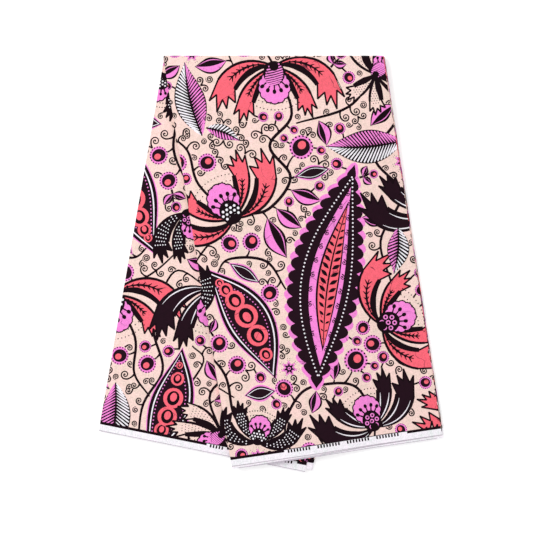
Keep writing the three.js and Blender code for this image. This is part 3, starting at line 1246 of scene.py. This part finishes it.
# The layer bends along these lines round the turn. They go a little past its sides.
TURN_LINES = 13
across_turn = [
    ((-1, front_left + reach), (LEAF_WIDTH + 1, front_right + reach - 1))
    for reach in np.linspace(0, OUTER_ARC, TURN_LINES + 1)[:-1]
]
front_top = np.array((front_left, front_right)) + OUTER_ARC
front_layer = layer_of_cloth(
    "front_layer",
    place_front,
    front_top,
    window=lambda points: points,
    notches=[(78, 257)],
    gap=6,
    lines=across_turn,
)
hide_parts("outer_front", "outer_turn")
LEAF_WIDTH * MM
front_top.mean() * MM

# The back leg's top layer
# The innermost layer, which shows to the left of the front leg and below it. Its right side lies
# askew, so it falls short of the layers under it there and its selvedge sticks out past them.
back_left, back_right = LEGS["back"]["length"]
ASKEW = 7.7
STUCK_OUT = 4.0
CLOTH_LENGTH = front_left + back_left
LONGER = front_right + back_right - CLOTH_LENGTH


def place_back(flat, depth):
    x, down = curled(flat[:, 0])
    near_selvedge = 1 - flat[:, 1] / back_right
    x = x * (1 - ASKEW * near_selvedge / LAYER_WIDTH)
    y = flat[:, 1] - STUCK_OUT * near_selvedge * x / LAYER_WIDTH
    return on_pack("back", x, y, down + depth)


def window_of(layer, leg, arc=0.0):
    """Carries places on the repeat to a layer of a leg. The layers go to the right and back to
    the left by turns, from the outermost, and the back leg's go down from the turn."""
    pleats = LAYERS - 1 - layer
    start = (pleats + pleats % 2) * LAYER_WIDTH % REPEAT_ACROSS
    rightward = 1 - 2 * (pleats % 2)
    top = (CLOTH_LENGTH + arc) % REPEAT_ALONG

    def window(points):
        x = (points[:, 0] - start) * rightward
        y = points[:, 1] if leg == "front" else top + LONGER * x / LAYER_WIDTH - points[:, 1]
        return np.stack((x, y), 1)

    return window


# Beside the other leg a leg shows in a wedge, this wide at its selvedge and this high, and all
# along its selvedge. What is printed elsewhere on the inner layers is hidden, and is left out.
WEDGE_WIDTH = 215
WEDGE_HEIGHT = 640
WEDGE_MARGIN = 12
SHOWN_BELOW = 45


def in_wedge(from_side, least, most):
    wedge = WEDGE_WIDTH * (1 - most[1] / WEDGE_HEIGHT) + WEDGE_MARGIN
    return from_side < wedge or least[1] < SHOWN_BELOW


def shows_beside_front(least, most):
    """Whether a shape on the back leg reaches out from under the front leg."""
    return in_wedge(least[0], least, most)


back_top = np.array((back_left, back_right)) - CLOTH
back_layer = layer_of_cloth(
    "back_layer",
    place_back,
    back_top,
    window=window_of(0, "back"),
    notches=[(158, 188), (252, 292)],
    gap=7,
    shows=shows_beside_front,
)
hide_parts("inner_back")
LEAF_WIDTH * MM

# The front leg's bottom layer
# The innermost layer again, on the other leg: it comes down off the back leg, printed on this
# side too, and shows from below beside it.
def place_front_under(flat, depth):
    x, up = curled(flat[:, 0])
    return on_pack("front", x, flat[:, 1], up + depth)


def shows_below_front(least, most):
    """Whether a shape on the front leg's underside reaches out beside the back leg."""
    return in_wedge(LAYER_WIDTH - most[0], least, most)


front_under_top = np.array((front_left, front_right)) - CLOTH
front_under_layer = layer_of_cloth(
    "front_under_layer",
    place_front_under,
    front_under_top,
    window=window_of(0, "front"),
    notches=[(40, 120)],
    gap=7,
    shows=shows_below_front,
    face_down=True,
)
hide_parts("inner_front")
LEAF_WIDTH * MM

# The back leg's bottom layer
# The outermost layer again, after its turn. It lies flat on the floor and carries the whole
# pack, printed side down.
def place_under(flat, depth):
    x, up = curled(flat[:, 0])
    return on_pack("back", x, flat[:, 1], PACK - up - depth)


under_top = np.array((back_left, back_right))
under_layer = layer_of_cloth(
    "under_layer",
    place_under,
    under_top,
    window=window_of(LAYERS - 1, "back", OUTER_ARC),
    notches=[(60, 150)],
    gap=10,
    face_down=True,
)
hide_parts("outer_under")
LEAF_WIDTH * MM

# The pleats
# The sixteen layers in between. Only their folds show, along the pack's sides and round its
# turn, and the ends of their selvedges. They lie a little unevenly, and bulge at the right.
# ARM is how much of a layer is made on each side of a fold.
BULGE = 2.6
ARM = 9.0
SLACK = 0.95
FOLD_PAIRS = LAYERS // 2
chance = random.Random(7)


def pleat_folds(places, ends):
    """The folds on one side, from the innermost: where each is across the pack, and how far the
    selvedge sticks out there, from the least to the most in ends, at each leg's end."""
    return [
        {"x": places(i), "front": chance.uniform(*ends), "back": chance.uniform(*ends)}
        for i in range(FOLD_PAIRS)
    ]


def right_place(i):
    bulge = BULGE * math.sin(math.pi * i / (FOLD_PAIRS - 1))
    return LAYER_WIDTH + bulge + chance.uniform(-0.4, 0.3)


left_folds = pleat_folds(lambda i: chance.uniform(0.2, 1.3), ends=(-1.4, 1.2))
right_folds = pleat_folds(right_place, ends=(-1.6, 1.0))
# These folds belong to the innermost and outermost layers, or stick out further than the rest.
right_folds[0] |= {"x": LAYER_WIDTH, "front": -1.0, "back": STUCK_OUT}
right_folds[-1] |= {"x": LAYER_WIDTH, "front": 0.0, "back": 0.0}
left_folds[-1]["front"] = 3.7
right_folds[-2]["front"] = 4.0


def level_of(layer):
    """The middle of a layer. The pleats keep a little clear of the top and bottom layers."""
    return PACK / 2 + ((layer + 0.5) * PITCH - PACK / 2) * SLACK


def inks_at(across, upward, from_selvedge):
    """The inks of places on the whole cloth, from the chart and the selvedge's bands."""
    column = (across / CHART_CELL).astype(int) % CHART_SIZE[0]
    row = (upward / CHART_CELL).astype(int) % CHART_SIZE[1]
    picked = chart[column, row]
    picked = np.where(picked == BARE, INK_NAMES.index("ground"), picked)
    # The bands include the grey line of painted shade along each selvedge's edge.
    for ink, high in BANDS:
        picked = np.where(from_selvedge < high, INK_NAMES.index(ink), picked)
    return np.array([INK_LIGHT[name] for name in INK_NAMES])[picked]


def pleat_row(leg, share, x, level, ends):
    """A row across some layers: on a leg, at a share of the way from its selvedge to the fold,
    or on the turn, at a share of the way round it."""
    if leg == "turn":
        y = fold_at("front", x) + share * ARC_PER_RADIUS * (LEGS_GAP / 2 + level)
        return on_pack("front", x, y, level), y, y
    stuck_out = ends[leg]
    from_end = share * (fold_at(leg, x) + stuck_out)
    y = from_end - stuck_out
    up = y if leg == "front" else CLOTH_LENGTH + LONGER * x / LAYER_WIDTH - y
    return on_pack(leg, x, y, level), up, from_end


def ribbon(x, level, across, ends, rows):
    """A closed ribbon whose middle goes through places across the pack and levels, along rows of
    the pack. across is how far across the whole cloth those places are."""
    middle = np.stack((x, level), 1)
    half = sideways(middle) * CLOTH / 2
    ring = np.concatenate((middle + half, (middle - half)[::-1]))
    ring_across = np.concatenate((across, across[::-1]))
    ring_ends = {leg: np.concatenate((end, end[::-1])) for leg, end in ends.items()}
    made = [pleat_row(leg, share, ring[:, 0], ring[:, 1], ring_ends) for leg, share in rows]
    points, upward, from_end = (np.array(part) for part in zip(*made))
    count = len(ring)
    here = np.arange(count)
    after = (here + 1) % count
    first = (np.arange(len(rows) - 1) * count)[:, None]
    sides = np.stack((first + here, first + count + here, first + count + after, first + after), -1)
    half_count = count // 2
    ends_here = np.arange(half_count - 1)
    end = np.stack((ends_here, ends_here + 1, count - 2 - ends_here, count - 1 - ends_here), -1)
    last = (len(rows) - 1) * count
    faces = np.concatenate((sides.reshape(-1, 4), end, end[:, ::-1] + last))
    flat_across = np.broadcast_to(ring_across, upward.shape)
    spot = [part.ravel()[faces].mean(axis=1) for part in (flat_across, upward, from_end)]
    return {
        "points": points.reshape(-1, 3),
        "flat": np.stack((flat_across.ravel(), upward.ravel()), 1),
        "faces": faces,
        "inks": inks_at(*spot),
        "normals": None,
    }


# The rows of the pleats' ribbons, so far apart along the legs.
ROW_GAP = 5.0
# This many rows round the turn, its first and last among them, which the legs have already.
TURN_ROWS = 13
leg_rows = int(front_left / ROW_GAP)
all_rows = (
    [("front", share) for share in np.linspace(0, 1, leg_rows)]
    + [("turn", share) for share in np.linspace(0, 1, TURN_ROWS)[1:-1]]
    + [("back", share) for share in np.linspace(1, 0, leg_rows)]
)
parts = []
# A fold goes half round, in three faces.
fold_angles = np.radians(np.array((90, 30, -30, -90)))
for side, folds in ((0, left_folds[1:]), (1, right_folds[1:-1])):
    outward = 2 * side - 1
    for i, fold in enumerate(folds):
        lower = 2 * i + 1 + side
        mid = (level_of(lower) + level_of(lower + 1)) / 2
        reach = fold["x"] - outward * PITCH / 2
        x = np.concatenate((
            reach - outward * np.array((ARM, ARM / 2)),
            reach + outward * np.cos(fold_angles) * PITCH / 2,
            reach - outward * np.array((ARM / 2, ARM)),
        ))
        level = np.concatenate((
            np.full(2, mid + PITCH / 2),
            mid + np.sin(fold_angles) * PITCH / 2,
            np.full(2, mid - PITCH / 2),
        ))
        from_middle = (reach - x) * outward * np.sign(level - mid + 1e-6)
        across = (LAYERS - 1 - lower) * LAYER_WIDTH + from_middle
        ends = {leg: np.full(len(x), fold[leg]) for leg in ("front", "back")}
        parts.append(ribbon(x, level, across, ends, all_rows))
# A selvedge end has this many points across, and rows where its inks change.
SELVEDGE_POINTS = 37
depths = np.array((0, SELVEDGE_SHADE_LINE, SELVEDGE_WHITE, SELVEDGE_BLACK, 2 * SELVEDGE_BLACK))
for layer in range(1, LAYERS - 1):
    left, right = left_folds[(layer + 1) // 2], right_folds[layer // 2]
    last = LAYER_WIDTH - (TAIL if layer == LAYERS - 2 else ARM - 1)
    x = np.linspace(ARM - 1, last, SELVEDGE_POINTS)
    share = x / LAYER_WIDTH
    ends = {leg: toward(left[leg], right[leg], share) for leg in ("front", "back")}
    across = (LAYERS - 1 - layer) * LAYER_WIDTH + x
    for leg in ("front", "back"):
        rows = [(leg, depth / front_left) for depth in depths]
        parts.append(ribbon(x, np.full(len(x), level_of(layer)), across, ends, rows))
pleats = make_mesh("pleats", parts)
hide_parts("hidden_layers")
strips = (len(left_folds[1:]) + len(right_folds[1:-1])) * 2 * ARM * CLOTH_LENGTH
shown_area = strips + 2 * (LAYERS - 2) * LAYER_WIDTH * 2 * SELVEDGE_BLACK
shown_area * MM / CLOTH_LENGTH
CLOTH_LENGTH * MM

# The floor
# A plain white sheet under the cloth, a hair below it so that the two never flicker. It glows a
# little, to look as white as its surroundings.
floor_mesh = bpy.data.meshes.new("floor")
REACH = 4.0
FLOOR = -0.0001
corners = [(-REACH, -REACH), (REACH, -REACH), (REACH, REACH), (-REACH, REACH)]
floor_mesh.from_pydata([(x, y, FLOOR) for x, y in corners], [], [(0, 1, 2, 3)])
floor = bpy.data.objects.new("floor", floor_mesh)
bpy.context.scene.collection.objects.link(floor)
floor_shader = Shader("floor")
floor_mesh.materials.append(
    floor_shader.finish(
        Base_Color=(0.9, 0.9, 0.9, 1.0),
        Roughness=0.9,
        Emission_Color=(1.0, 1.0, 1.0, 1.0),
        Emission_Strength=0.3,
    )
)

# Light
# A white tent all round, whose even light leaves only faint shadows, and one large soft lamp
# above on the left.
world = bpy.data.worlds.new("tent")
world.use_nodes = True
world.node_tree.nodes["Background"].inputs["Color"].default_value = (1.0, 1.0, 1.0, 1.0)
world.node_tree.nodes["Background"].inputs["Strength"].default_value = 0.8
bpy.context.scene.world = world
lamp_data = bpy.data.lights.new("lamp", "AREA")
lamp_data.energy = 26
lamp_data.size = 1.2
lamp = bpy.data.objects.new("lamp", lamp_data)
lamp.location = (-1.5, 0.9, 1.7)
lamp.rotation_euler = (math.radians(-32), math.radians(-41), 0)
bpy.context.scene.collection.objects.link(lamp)
bpy.context.scene.view_settings.view_transform = "Standard"

# Camera
# Straight above, with a long lens, and the folded edge at the top of the picture. Its height
# follows from how much of the cloth's plane fills the picture.
PICTURE_WIDTH = 0.7515
PICTURE_CENTRE = (-0.0055, -0.0037)
camera_data = bpy.data.cameras.new("camera")
camera_data.lens = 85
camera = bpy.data.objects.new("camera", camera_data)
distance = PICTURE_WIDTH * camera_data.lens / camera_data.sensor_width
camera.location = (*PICTURE_CENTRE, distance + turn_high[2] * MM)
bpy.context.scene.collection.objects.link(camera)
bpy.context.scene.camera = camera
